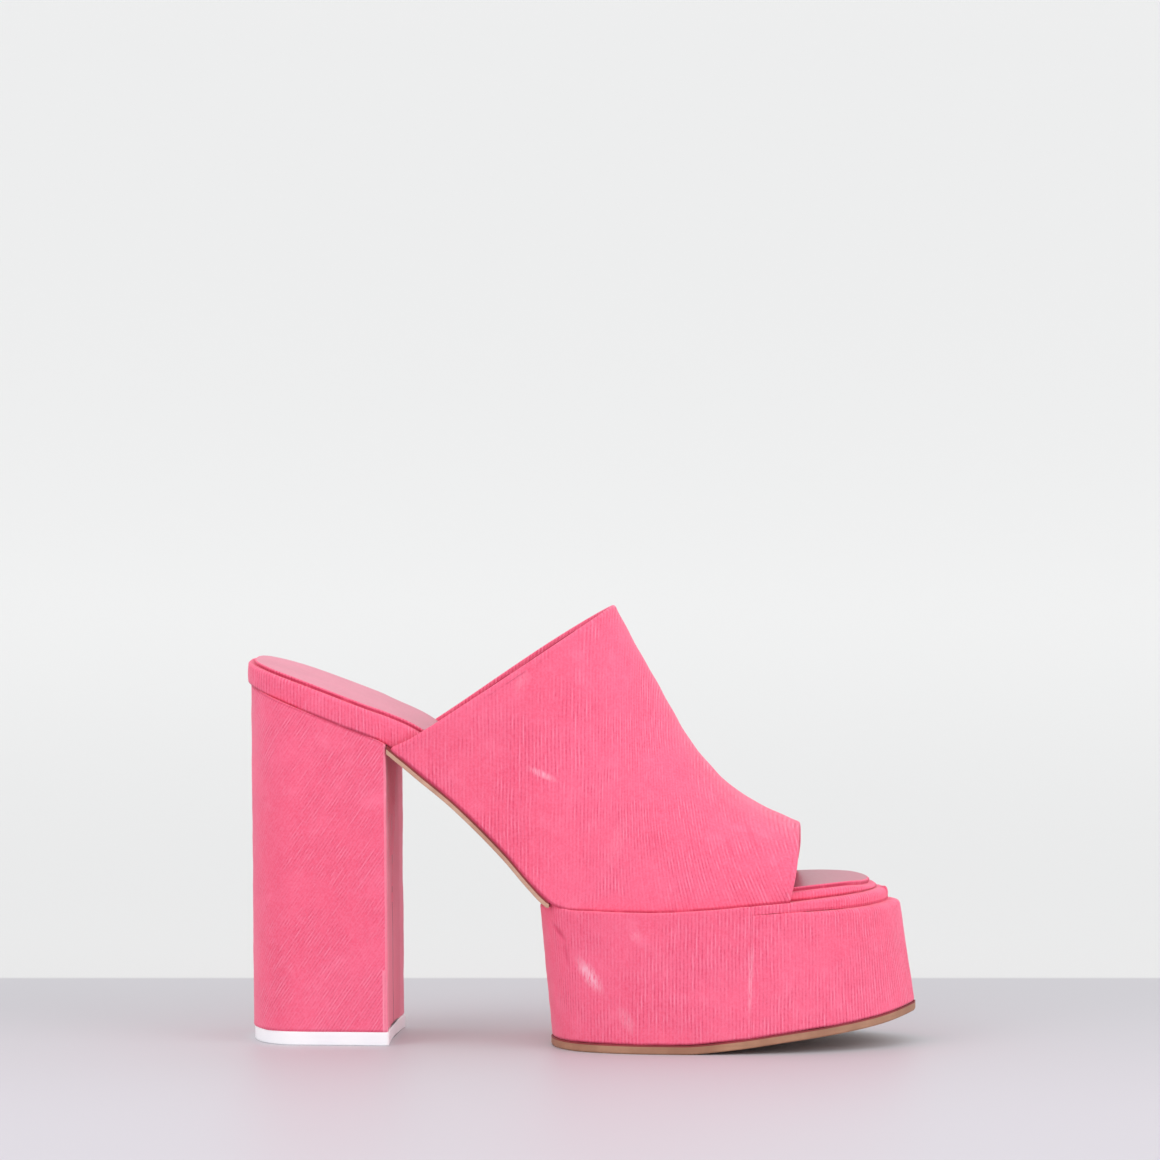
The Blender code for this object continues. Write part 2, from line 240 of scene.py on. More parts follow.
# The upper's arches, from the topline to the toe edge: each stands on the base line and leans to the ridge
ARCHES = table(
    "base ridge rise fullness",
    (0.224, 0.5495, 1.000, 4.3),
    (0.292, 0.5670, 0.923, 3.8),
    (0.367, 0.5900, 0.826, 3.3),
    (0.442, 0.6135, 0.731, 2.9),
    (0.513, 0.6375, 0.638, 2.6),
    (0.575, 0.6630, 0.542, 2.4),
    (0.637, 0.6950, 0.447, 2.3),
    (0.698, 0.7370, 0.366, 2.2),
    (0.760, 0.7820, 0.310, 2.2),
    (0.8245, 0.8290, 0.262, 2.2),
)


def smooth(xs, ys, x):
    """A curve through the points that never overshoots them, level past both ends."""
    x = np.clip(np.asarray(x, float), xs[0], xs[-1])
    step = np.diff(xs)
    slope = np.diff(ys) / step
    tangent = np.zeros_like(ys)
    turns = slope[:-1] * slope[1:] > 0
    before = np.where(turns, slope[:-1], 1)
    after = np.where(turns, slope[1:], 1)
    tangent[1:-1] = np.where(turns, 2 / (1 / before + 1 / after), 0)
    tangent[0] = slope[0]
    tangent[-1] = slope[-1]
    i = np.clip(np.searchsorted(xs, x, side="right") - 1, 0, len(step) - 1)
    t = (x - xs[i]) / step[i]
    start = (1 + 2 * t) * (1 - t) ** 2 * ys[i] + t * (1 - t) ** 2 * step[i] * tangent[i]
    end = t**2 * (3 - 2 * t) * ys[i + 1] + t**2 * (t - 1) * step[i] * tangent[i + 1]
    return start + end


def share(x):
    return (np.asarray(x, float) - HEEL_BACK) / SHOE_LENGTH


def place(at):
    return HEEL_BACK + np.asarray(at, float) * SHOE_LENGTH


def column(rows, name, x):
    return smooth(rows["at"], rows[name], share(x))


def ramp(x, low, high):
    """0 before low, 1 past high and a soft step between."""
    t = np.clip((np.asarray(x, float) - low) / (high - low), 0, 1)
    return t * t * (3 - 2 * t)


def seat(x):
    """Height of what the board and the upper stand on."""
    climb = column(SEAT, "climb", x) * (HEEL_HEIGHT - PLATFORM_HEIGHT)
    return PLATFORM_HEIGHT + climb + column(SEAT, "spring", x) * TOE_SPRING


def board_top(x):
    ball = PLATFORM_HEIGHT + GAP + BOARD_AT_TOE
    heel = HEEL_HEIGHT + GAP + BOARD_AT_HEEL
    return ball + column(BED, "climb", x) * (heel - ball) + column(BED, "spring", x) * TOE_SPRING


def ground(x):
    """Height of the sole's walking face."""
    return column(SPRING, "rise", x) * TOE_SPRING


def steepness(height, x):
    """What a thickness of one, square to a sloping face, measures straight up."""
    slope = (height(x + 0.001) - height(x - 0.001)) / 0.002
    return np.sqrt(1 + slope**2)


def insole_top(x):
    return board_top(x) + GAP + INSOLE_THICKNESS * steepness(board_top, x)


def waist_low(x):
    hanging = seat(x) - GAP - WAIST_THICKNESS * steepness(seat, x)
    return np.maximum(hanging, PLATFORM_HEIGHT + GAP)


def sole_top(x):
    return ground(x) + SOLE_THICKNESS


def tip_top(x):
    return 0 * x + TIP_THICKNESS


def bed_top(x):
    """The board's top with its covering drawn down over the tip."""
    return board_top(x) - BED_TIP_DROP * ramp(x, place(0.895), place(BED_END))


def sock_top(x):
    return insole_top(x) + bed_top(x) - board_top(x)


def rim_thickness(x):
    return RIM_THICKNESS * (0.62 + 0.38 * ramp(x, RIM_BACK, TOE_TIP - 0.01))


def rim_low(x):
    return seat(x) - rim_thickness(x) - GAP


def platform_top(x):
    """Level under the waist sole's end, then against the board and the upper, then lower by the rim."""
    past_waist = ramp(x, *WAIST_STEP)
    under_rim = ramp(x, *RIM_STEP)
    top = PLATFORM_HEIGHT + (seat(x) - PLATFORM_HEIGHT) * past_waist
    return top - (rim_thickness(x) + GAP) * under_rim


def stations(start, end, count, back=0.0, front=0.0):
    """Places from start to end, drawn closer at a rounded back or front."""
    t = np.linspace(0, 1, count) ** (1 + back)
    t = 1 - (1 - t) ** (1 + front)
    return start + (end - start) * t


def plan(rows, xs, along, columns):
    """A grid of places in plan, a row across the shoe for each station."""
    near = smooth(rows["at"], rows["near"], along) * BALL_WIDTH
    far = smooth(rows["at"], rows["far"], along) * BALL_WIDTH
    return across(np.stack([xs, near], 1), np.stack([xs, far], 1), columns)


def foot_plan(xs, columns):
    return plan(FOOT, xs, share(xs), columns)


def platform_plan(xs, columns):
    return plan(PLATFORM, xs, (xs - PLATFORM_BACK) / PLATFORM_LENGTH, columns)


def across(near, far, columns, back_bow=0.0, front_bow=0.0):
    """A grid between two edges, a row for each pair of points. Its end rows may bow outwards."""
    v = np.linspace(0, 1, columns + 1)[None, :, None]
    grid = near[:, None, :] * (1 - v) + far[:, None, :] * v
    bow = 1 - (2 * v[0, :, 0] - 1) ** 2
    grid[0, :, 0] -= back_bow * bow
    grid[-1, :, 0] += front_bow * bow
    return grid


def border(rows, columns):
    """Row and column numbers once round the grid: near side, front, far side, back."""
    near = [(i, 0) for i in range(rows)]
    front = [(rows - 1, j) for j in range(1, columns)]
    far = [(i, columns) for i in range(rows - 1, -1, -1)]
    back = [(0, j) for j in range(columns - 1, 0, -1)]
    return np.array(near + front + far + back).T


def softened(inward, places, rounds=30):
    """The directions with a sharp turn among those places spread over its neighbours."""
    for _ in range(rounds):
        softer = (np.roll(inward, 1, 0) + 2 * inward + np.roll(inward, -1, 0)) / 4
        inward[places] = softer[places]
    return inward


def drawn_in(grid, by):
    """The grid with its border moved inwards, and its rows spread evenly again.

    A narrow end is drawn in as a part of the curve round it, and a wide end stays a straight row.
    """
    rows, columns = grid.shape[0], grid.shape[1] - 1
    i, j = border(rows, columns)
    loop = grid[i, j]
    ahead = np.roll(loop, -1, 0) - loop
    ahead /= np.linalg.norm(ahead, axis=1)[:, None]
    behind = np.roll(ahead, 1, 0)
    mean = ahead + behind
    mean /= np.linalg.norm(mean, axis=1)[:, None]
    stretch = 1 / np.clip((mean * ahead).sum(1), 0.6, 1)
    inward = np.stack([-mean[:, 1], mean[:, 0]], 1) * stretch[:, None]
    widths = grid[:, -1, 1] - grid[:, 0, 1]
    narrow = widths < NARROW_END * widths.max()
    for end, near_end in ((0, i < 12), (-1, i >= rows - 12)):
        if narrow[end]:
            inward = softened(inward, near_end)
    by = np.broadcast_to(by, loop.shape[:1])
    moved = loop + inward * by[:, None]
    out = np.empty_like(grid)
    out[i, j] = moved
    shares = np.linspace(0, 1, columns + 1)
    tiny = 1e-5 * np.arange(rows)
    for end in (0, -1):
        if narrow[end]:
            continue
        out[end, :, 1] = out[end, 0, 1] * (1 - shares) + out[end, -1, 1] * shares
        for side in (0, -1):
            # No row may stand past the end row
            if end == 0:
                out[:, side, 0] = np.maximum(out[:, side, 0], out[0, side, 0] + tiny)
            else:
                out[:, side, 0] = np.minimum(out[:, side, 0], out[-1, side, 0] - tiny[::-1])
    inner = across(out[:, 0], out[:, -1], columns)
    out[1:-1] = inner[1:-1]
    return out


def heights(grid, height):
    return np.concatenate([grid, height(grid[..., 0])[..., None]], 2)


def heel_plan(back, columns=30):
    """The heel's D in plan, moved back by a length: the back is round and the breast is straight."""
    rounded = (1 - np.cos(np.linspace(0.07, 1, 44) * np.pi / 2)) * HEEL_ROUNDING
    straight = np.linspace(HEEL_ROUNDING, HEEL_DEPTH - BREAST_CORNER, 34)[1:]
    s = np.concatenate([rounded, straight, [HEEL_DEPTH]])
    turn = np.clip(1 - s / HEEL_ROUNDING, 0, 1)
    half = HEEL_WIDTH / 2 * (1 - turn**HEEL_SQUARENESS) ** (1 / HEEL_SQUARENESS)
    half[-1] -= BREAST_CORNER
    xs = s - HEEL_DEPTH / 2 - back
    return across(np.stack([xs, -half], 1), np.stack([xs, half], 1), columns, 0.0003, -BREAST_HOLLOW)


def sheared_back(grid):
    """The platform's outline at the ground, where its back face stands further forward than at its top."""
    low = grid.copy()
    low[..., 0] += PLATFORM_BACK_LEAN * (1 - ramp(grid[..., 0], PLATFORM_BACK, PLATFORM_BACK + 0.018))
    return low


def toe_lean(x):
    """How far the platform's top is set back from its foot towards the toe."""
    start = place(0.78)
    return PLATFORM_TOE_LEAN * np.clip((x - start) / (TOE_TIP - start), 0, 1) ** 2


def noise3(points, size, seed):
    """Smooth seeded bumps between about -1 and 1, from a few crossing waves of that wavelength."""
    random = np.random.default_rng(seed)
    total = np.zeros(points.shape[:-1])
    for _ in range(9):
        way = random.normal(size=3)
        way /= np.linalg.norm(way)
        wave = 2 * np.pi / (size * random.uniform(0.7, 1.6))
        total += np.sin(points @ way * wave + random.uniform(0, 2 * np.pi))
    return total / 4.5


def mesh_object(name, points, faces, corner_uvs, materials, face_slots=None):
    """A smooth-shaded object with its UV maps, given in metres on the cloth."""
    data = bpy.data.meshes.new(name)
    data.from_pydata([tuple(p) for p in points], [], [tuple(f) for f in faces])
    for map_name, uv in corner_uvs.items():
        layer_data = data.uv_layers.new(name=map_name)
        layer_data.uv.foreach_set("vector", np.asarray(uv, np.float32).ravel())
    for material in materials:
        data.materials.append(material)
    if face_slots is not None:
        data.polygons.foreach_set("material_index", np.asarray(face_slots, np.int32))
    data.shade_smooth()
    data.set_sharp_from_angle(angle=math.radians(50))
    data.update()
    thing = bpy.data.objects.new(name, data)
    bpy.context.scene.collection.objects.link(thing)
    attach(thing, "root")
    return thing


QUARTER_TURN = np.linspace(0, math.pi / 2, 7)


def rounded_loop(grid, height, edge, way, turn):
    """One line round a solid's rounded edge: turn goes from the flat face to the wall."""
    i, j = border(grid.shape[0], grid.shape[1] - 1)
    level = heights(drawn_in(grid, edge * (1 - math.sin(turn))), height)[i, j]
    level[:, 2] += way * edge * (1 - math.cos(turn))
    return level


def slab(name, low, high, bottom, top, materials, low_edge, high_edge, bulge=0.0,
         walls=10, skirt=0.0, ruffle=None, paint=None):
    """A rounded solid between two plan grids, with the way round its walls and the height as UVs."""
    rows, columns = low.shape[0], low.shape[1] - 1
    i, j = border(rows, columns)
    foot = heights(low, bottom)[i, j]
    head = heights(high, top)[i, j]
    low_edge = np.broadcast_to(low_edge, foot.shape[:1])
    high_edge = np.broadcast_to(high_edge, foot.shape[:1])
    loops = [rounded_loop(low, bottom, low_edge, 1, turn) for turn in QUARTER_TURN[:-1]]
    foot[:, 2] += low_edge
    head[:, 2] -= high_edge
    for t in np.linspace(0, 1, walls + 1):
        grid = low * (1 - t) + high * t
        if bulge:
            grid = drawn_in(grid, -bulge * math.sin(math.pi * t))
        level = foot[:, 2] * (1 - t) + head[:, 2] * t
        loops.append(np.concatenate([grid[i, j], level[:, None]], 1))
    loops += [rounded_loop(high, top, high_edge, -1, turn) for turn in QUARTER_TURN[:-1][::-1]]
    ends = [
        heights(drawn_in(low, low_edge + skirt), bottom),
        heights(drawn_in(high, high_edge + skirt), top),
    ]
    if skirt:
        loops = [ends[0][i, j]] + loops + [ends[1][i, j]]
    loops = np.array(loops)
    middle = loops[len(loops) // 2]
    around = np.linalg.norm(np.diff(middle, axis=0, append=middle[:1]), axis=1)
    u = np.concatenate([[0], np.cumsum(around)])
    up = np.linalg.norm(np.diff(loops, axis=0), axis=2)
    v = np.concatenate([0 * up[:1], np.cumsum(up, axis=0)]) - skirt - SEAM_INSET
    if ruffle is not None:
        ahead = np.roll(loops, -1, 1) - np.roll(loops, 1, 1)
        rise = np.gradient(loops, axis=0)
        out = np.cross(ahead, rise)
        out /= np.maximum(np.linalg.norm(out, axis=2), 1e-12)[..., None]
        push = ruffle(loops, u[:-1], v)
        push[0] = 0
        push[-1] = 0
        loops = loops + out * push[..., None]
    count, around_count = loops.shape[:2]
    points = [loops.reshape(-1, 3)]
    faces = []
    uvs = []
    seam_uvs = []
    spots = []
    head_at = v[-1] - skirt - SEAM_INSET
    for a in range(count - 1):
        for k in range(around_count):
            b = (k + 1) % around_count
            faces.append((a * around_count + k, a * around_count + b,
                          (a + 1) * around_count + b, (a + 1) * around_count + k))
            corners = ((a, k), (a, b), (a + 1, b), (a + 1, k))
            uvs += [(u[at], v[r]) for at, r in zip((k, k + 1, k + 1, k), corners)]
            seam_uvs += [(v[r], head_at[r[1]] - v[r]) for r in corners]
            spots.append(1)
    base = count * around_count
    for which, (inner, loop_at) in enumerate(((ends[0], 0), (ends[1], count - 1))):
        number = np.full((rows, columns + 1), -1)
        number[i, j] = loop_at * around_count + np.arange(around_count)
        inside = np.argwhere(number < 0)
        number[inside[:, 0], inside[:, 1]] = base + np.arange(len(inside))
        points.append(inner[inside[:, 0], inside[:, 1]])
        base += len(inside)
        for a in range(rows - 1):
            for b in range(columns):
                ring = [(a, b), (a + 1, b), (a + 1, b + 1), (a, b + 1)]
                if which == 0:
                    ring = ring[::-1]
                faces.append(tuple(int(number[r]) for r in ring))
                uvs += [tuple(inner[r][:2]) for r in ring]
                seam_uvs += [(1.0, 1.0)] * 4
                spots.append(2 * which)
    points = np.concatenate(points)
    slots = None
    if paint is not None:
        slots = paint(points[np.array(faces)].mean(1), np.array(spots))
    return mesh_object(name, points, faces, {"Cloth": uvs, "Seam": seam_uvs}, materials, slots)


def add(material, kind, options=None, **inputs):
    """Adds a node. Each input is a number, a colour or another node's output.

    An input goes by its name, with a low line for each space, or by an i and its number.
    """
    made = material.node_tree.nodes.new(kind)
    for key, value in (options or {}).items():
        setattr(made, key, value)
    for key, value in inputs.items():
        key = int(key[1:]) if key[0] == "i" and key[1:].isdigit() else key.replace("_", " ")
        if isinstance(value, bpy.types.NodeSocket):
            material.node_tree.links.new(value, made.inputs[key])
        else:
            made.inputs[key].default_value = value
    return made


def math_node(material, operation, first, second=0.0, third=0.0, clamp=False):
    options = {"operation": operation, "use_clamp": clamp}
    return add(material, "ShaderNodeMath", options, i0=first, i1=second, i2=third).outputs[0]


def noise(material, where, scale, detail=2.0, roughness=0.5):
    made = add(material, "ShaderNodeTexNoise", None,
               Vector=where, Scale=scale, Detail=detail, Roughness=roughness)
    return made.outputs["Fac"]


def spread(material, value, low, high, to_low=0.0, to_high=1.0, kind="SMOOTHSTEP"):
    """Takes a value between low and high to one between two others, and holds it past both."""
    options = {"interpolation_type": kind}
    made = add(material, "ShaderNodeMapRange", options,
               i0=value, i1=low, i2=high, i3=to_low, i4=to_high)
    return made.outputs[0]


def parts_of(material, vector):
    """A vector's three numbers."""
    return add(material, "ShaderNodeSeparateXYZ", None, Vector=vector).outputs


def mixed(material, share_of, first, second):
    made = add(material, "ShaderNodeMix", {"data_type": "RGBA"}, i0=share_of, i6=first, i7=second)
    return made.outputs[2]


def spots_at(material, place_in, spots):
    """Soft oval spots, each given as its place, its three radii, its tilt and its strength."""
    total = None
    for at, radii, tilt, strength in spots:
        away = add(material, "ShaderNodeMapping", {"vector_type": "TEXTURE"}, Vector=place_in)
        away.inputs["Location"].default_value = at
        away.inputs["Rotation"].default_value = (0, tilt, 0)
        away.inputs["Scale"].default_value = radii
        length = add(material, "ShaderNodeVectorMath", {"operation": "LENGTH"}, i0=away.outputs[0])
        far = length.outputs["Value"]
        spot = spread(material, far, 1.0, 0.15, 0.0, strength)
        total = spot if total is None else math_node(material, "ADD", total, spot, clamp=True)
    return total


def new_material(name, colour, roughness):
    material = bpy.data.materials.new(name)
    material.use_nodes = True
    shader = material.node_tree.nodes["Principled BSDF"]
    shader.inputs["Base Color"].default_value = (*colour, 1)
    shader.inputs["Roughness"].default_value = roughness
    material.diffuse_color = (*colour, 1)
    return material, shader


def link(material, source, target):
    material.node_tree.links.new(source, target)


def rgba(red, green, blue):
    """A colour given as it looks on a screen, from 0 to 255."""
    def linear(value):
        value /= 255
        return value / 12.92 if value <= 0.04045 else ((value + 0.055) / 1.055) ** 2.4
    return (linear(red), linear(green), linear(blue), 1)


def rib_coordinates(material, u, v, twill):
    """Where a point lies across the ribs and along them: upright, or slanted for a twill."""
    if not twill:
        return u, v
    across_ribs = math_node(
        material, "SUBTRACT",
        math_node(material, "MULTIPLY", u, math.sin(twill)),
        math_node(material, "MULTIPLY", v, math.cos(twill)),
    )
    along_ribs = math_node(
        material, "ADD",
        math_node(material, "MULTIPLY", u, math.cos(twill)),
        math_node(material, "MULTIPLY", v, math.sin(twill)),
    )
    return across_ribs, along_ribs


def hem_line(material, place_in, blotch):
    """The faint broken line where the folded cloth ends, along part of the topline and at the toe."""
    edge = parts_of(material, add(material, "ShaderNodeUVMap", {"uv_map": "Edges"}).outputs[0])
    off_top = math_node(material, "ABSOLUTE", math_node(material, "SUBTRACT", edge[0], HEM_FROM_TOPLINE))
    off_toe = math_node(material, "ABSOLUTE", math_node(material, "SUBTRACT", edge[1], HEM_FROM_TOE))
    line = spread(material, math_node(material, "MINIMUM", off_top, off_toe), 0.0004, 0.0, 0.0, 1.0)
    line = math_node(material, "MULTIPLY", line, spread(material, blotch, 0.42, 0.58))
    along = parts_of(material, place_in)[0]
    shown = math_node(
        material, "MULTIPLY",
        spread(material, along, 0.052, 0.060),
        spread(material, along, 0.082, 0.074),
    )
    shown = math_node(material, "MAXIMUM", shown, spread(material, along, 0.120, 0.130))
    return math_node(material, "MULTIPLY", line, shown)


def seam_shade_lines(material, place_in, blotch, lines, fade):
    """The dark lines at a piece's foot and head, painted shade where the pieces meet, each with its
    strength, faded in along the shoe.
    """
    seam = parts_of(material, add(material, "ShaderNodeUVMap", {"uv_map": "Seam"}).outputs[0])
    ends = [
        spread(material, math_node(material, "ABSOLUTE", seam[end]), 0.0008, 0.0001, 0.0, lines[end])
        for end in (0, 1)
    ]
    line = math_node(material, "MAXIMUM", *ends)
    line = math_node(material, "MULTIPLY", line, spread(material, blotch, 0.32, 0.52, 0.5, 1.0))
    if fade:
        along = parts_of(material, place_in)[0]
        line = math_node(material, "MULTIPLY", line, spread(material, along, *fade))
    return line


def cloth(name, pitch=RIB_PITCH, twill=0.0, lines=(0.0, 0.0), fade=None, plain=0.0, seams=False,
          scuffs=(), shaded_creases=()):
    """Washed pink cloth: raised ribs that come and go, slubs, a fine weave, faded patches and scuffs,
    with painted shade in the furrows and along each crease and a painted highlight on the ridges.

    Its seam lines at the foot and head, dark with painted shade where pieces meet, have the strengths
    in lines and fade in along the shoe, it has no ribs as far as plain, and seams adds the line where
    its folded edge ends.
    """
    base = rgba(243, 92, 126)
    material, shader = new_material(name, base[:3], 0.88)
    place_in = add(material, "ShaderNodeTexCoord").outputs["Object"]
    uv = parts_of(material, add(material, "ShaderNodeUVMap", {"uv_map": "Cloth"}).outputs[0])
    rib_at, rib_along = rib_coordinates(material, uv[0], uv[1], twill)
    wander = noise(material, place_in, 48.0, 3.0)
    wander = math_node(material, "MULTIPLY_ADD", wander, 0.0007 if twill else 0.0014, rib_at)
    phase = math_node(material, "MULTIPLY", wander, 2 * math.pi / pitch)
    wave = math_node(material, "SINE", phase)
    wave = math_node(material, "MULTIPLY_ADD", wave, 0.5, 0.5)
    rib = spread(material, wave, 0.05, 0.95)
    # Slubs are long thin flecks along the ribs
    squeezed = math_node(material, "MULTIPLY", wander, 1 / pitch)
    drawn = math_node(material, "MULTIPLY", rib_along, 160.0)
    fleck_at = add(material, "ShaderNodeCombineXYZ", None, X=squeezed, Y=drawn, Z=0.0).outputs[0]
    fleck = noise(material, fleck_at, 1.0, 3.0, 0.62)
    # The weave crosses the ribs
    slant = math_node(material, "MULTIPLY_ADD", rib_at, 0.6, rib_along)
    crossing = math_node(material, "MULTIPLY", slant, 2 * math.pi / WEAVE_PITCH)
    weave = math_node(material, "MULTIPLY_ADD", math_node(material, "SINE", crossing), 0.5, 0.5)
    grain = noise(material, place_in, 1300.0, 3.0, 0.7)
    patches = noise(material, place_in, 52.0, 4.0, 0.62)
    shown = spread(material, patches, 0.38, 0.60, 0.25, 1.0)
    if plain:
        ribbed_part = spread(material, uv[0], plain - 0.0015, plain + 0.0010)
        shown = math_node(material, "MULTIPLY", shown, ribbed_part)
    broad = noise(material, place_in, 19.0, 2.0, 0.5)
    blotch = noise(material, place_in, 115.0, 3.0, 0.6)
    # The dye: broad clouds, then paler and deeper blotches
    clouds = spread(material, broad, 0.35, 0.65)
    colour = mixed(material, clouds, rgba(246, 98, 130), rgba(249, 105, 138))
    colour = mixed(material, spread(material, blotch, 0.52, 0.74, 0.0, 0.55), colour, rgba(255, 123, 154))
    colour = mixed(material, spread(material, blotch, 0.46, 0.24, 0.0, 0.5), colour, rgba(243, 84, 120))
    # Painted shade darkens the deep furrows and a painted highlight lightens the ridges
    furrow_shade = spread(material, wave, 0.42, 0.02)
    ridge = spread(material, wave, 0.66, 0.98)
    broken = spread(material, fleck, 0.36, 0.58, 0.25, 1.0)
    deep = math_node(material, "MULTIPLY", math_node(material, "MULTIPLY", furrow_shade, shown), broken)
    deep = math_node(material, "MULTIPLY", deep, 0.5 if twill else 0.74)
    colour = mixed(material, deep, colour, rgba(214, 58, 98))
    # The ridges' painted highlight
    ridge_highlight = math_node(material, "MULTIPLY", ridge, shown)
    ridge_highlight = math_node(material, "MULTIPLY", ridge_highlight, spread(material, fleck, 0.44, 0.66))
    colour = mixed(material, math_node(material, "MULTIPLY", ridge_highlight, 0.7), colour, rgba(255, 152, 180))
    speck = spread(material, grain, 0.36, 0.64, 0.0, 0.36)
    colour = mixed(material, speck, colour, rgba(255, 132, 164))
    if scuffs:
        marks = spots_at(material, place_in, scuffs)
        scratch = spread(material, noise(material, fleck_at, 1.9, 4.0, 0.7), 0.34, 0.60)
        marks = math_node(material, "MULTIPLY", marks, scratch)
        colour = mixed(material, marks, colour, rgba(255, 182, 202))
    if shaded_creases:
        # Painted shade in the creases
        creases_with_shade = spots_at(material, place_in, shaded_creases)
        colour = mixed(material, creases_with_shade, colour, rgba(212, 58, 98))
    if seams:
        hem = hem_line(material, place_in, blotch)
        colour = mixed(material, math_node(material, "MULTIPLY", hem, 0.30), colour, rgba(200, 70, 104))
    # Dark seam lines: painted shade where this piece meets the next
    line = seam_shade_lines(material, place_in, blotch, lines, fade)
    colour = mixed(material, line, colour, rgba(172, 30, 68))
    link(material, colour, shader.inputs["Base Color"])
    rough = spread(material, fleck, 0.2, 0.8, 0.95, 0.78, "LINEAR")
    link(material, rough, shader.inputs["Roughness"])
    # The relief: ribs, weave, grain and slubs, with the lines and folds pressed in
    high = math_node(material, "MULTIPLY", rib, math_node(material, "MULTIPLY", shown, 0.55))
    high = math_node(material, "MULTIPLY_ADD", weave, 0.14, high)
    high = math_node(material, "MULTIPLY_ADD", grain, 0.22, high)
    high = math_node(material, "MULTIPLY_ADD", fleck, 0.35, high)
    high = math_node(material, "MULTIPLY_ADD", line, -1.5, high)
    if seams:
        high = math_node(material, "MULTIPLY_ADD", hem, -0.9, high)
    if shaded_creases:
        high = math_node(material, "MULTIPLY_ADD", creases_with_shade, -2.2, high)
    bump = add(material, "ShaderNodeBump", None, Strength=0.8, Distance=0.00022, Height=high)
    link(material, bump.outputs[0], shader.inputs["Normal"])
    shader.inputs["Sheen Weight"].default_value = 0.32
    shader.inputs["Sheen Roughness"].default_value = 0.42
    shader.inputs["Sheen Tint"].default_value = (1.0, 0.72, 0.80, 1)
    shader.inputs["Specular IOR Level"].default_value = 0.22
    return material


def leather(name, first, second, roughness, grain_size=900.0, coat=0.0, streak=False, toe=None):
    """Smooth leather: a fine pebble, cloudy dye and a satin face.

    A streak shows the layers of a cut edge, and toe is the colour that it reaches at the toe.
    """
    material, shader = new_material(name, first[:3], roughness)
    place_in = add(material, "ShaderNodeTexCoord").outputs["Object"]
    cloud = noise(material, place_in, 60.0, 4.0, 0.6)
    colour = mixed(material, spread(material, cloud, 0.3, 0.7), first, second)
    if toe:
        along = parts_of(material, place_in)[0]
        colour = mixed(material, spread(material, along, 0.0, 0.150), colour, toe)
    fine = noise(material, place_in, grain_size, 4.0, 0.65)
    speck = math_node(material, "MULTIPLY", spread(material, fine, 0.35, 0.7), 0.16)
    colour = mixed(material, speck, colour, second)
    if streak:
        stretched = add(material, "ShaderNodeMapping", {"vector_type": "POINT"}, Vector=place_in)
        stretched.inputs["Scale"].default_value = (60.0, 60.0, 1400.0)
        layers = noise(material, stretched.outputs[0], 1.0, 3.0, 0.6)
        layers = math_node(material, "MULTIPLY", spread(material, layers, 0.4, 0.7), 0.35)
        colour = mixed(material, layers, colour, tuple(c * 0.62 for c in first[:3]) + (1,))
    link(material, colour, shader.inputs["Base Color"])
    rough = spread(material, fine, 0.2, 0.8, roughness - 0.06, roughness + 0.08, "LINEAR")
    link(material, rough, shader.inputs["Roughness"])
    pebbles = add(material, "ShaderNodeTexVoronoi", {"feature": "SMOOTH_F1"},
                  Vector=place_in, Scale=grain_size * 1.3)
    pebbles.inputs["Smoothness"].default_value = 0.6
    high = math_node(material, "MULTIPLY", pebbles.outputs["Distance"], 0.6)
    high = math_node(material, "MULTIPLY_ADD", fine, 0.5, high)
    bump = add(material, "ShaderNodeBump", None, Strength=0.5, Distance=0.00008, Height=high)
    link(material, bump.outputs[0], shader.inputs["Normal"])
    shader.inputs["Coat Weight"].default_value = coat
    shader.inputs["Coat Roughness"].default_value = 0.35
    shader.inputs["Specular IOR Level"].default_value = 0.4
    return material


def white_rubber():
    """The heel tip's rubber, with a fine grain."""
    material, shader = new_material("tip_white", (0.86, 0.86, 0.87), 0.42)
    place_in = add(material, "ShaderNodeTexCoord").outputs["Object"]
    grain = noise(material, place_in, 700.0, 3.0)
    cloud = spread(material, noise(material, place_in, 70.0), 0.3, 0.7)
    colour = mixed(material, cloud, rgba(254, 253, 255), rgba(249, 248, 252))
    link(material, colour, shader.inputs["Base Color"])
    rough = spread(material, grain, 0.2, 0.8, 0.38, 0.5, "LINEAR")
    link(material, rough, shader.inputs["Roughness"])
    bump = add(material, "ShaderNodeBump", None, Strength=0.3, Distance=0.00005, Height=grain)
    link(material, bump.outputs[0], shader.inputs["Normal"])
    return material


def breast_cloth():
    """The heel's front: the wrapped cloth's turned edge, and a deeper strip with a seam down it, all
    painted paler as painted light on this shaded face.
    """
    material = cloth("breast_cloth", BREAST_PITCH, lines=(0.2, 0.5))
    shader = material.node_tree.nodes["Principled BSDF"]
    colour = shader.inputs["Base Color"].links[0].from_socket
    place_in = add(material, "ShaderNodeTexCoord").outputs["Object"]
    side = math_node(material, "ABSOLUTE", parts_of(material, place_in)[1])
    inner = spread(material, side, 0.0205, 0.0185)
    # Painted light: the whole front is made paler to stand for light on this shaded face
    colour = mixed(material, 0.45, colour, rgba(255, 168, 188))
    colour = mixed(material, math_node(material, "MULTIPLY", inner, 0.45), colour, rgba(232, 104, 134))
    seam = spread(material, side, 0.0011, 0.0003)
    colour = mixed(material, math_node(material, "MULTIPLY", seam, 0.75), colour, rgba(130, 24, 44))
    link(material, colour, shader.inputs["Base Color"])
    return material
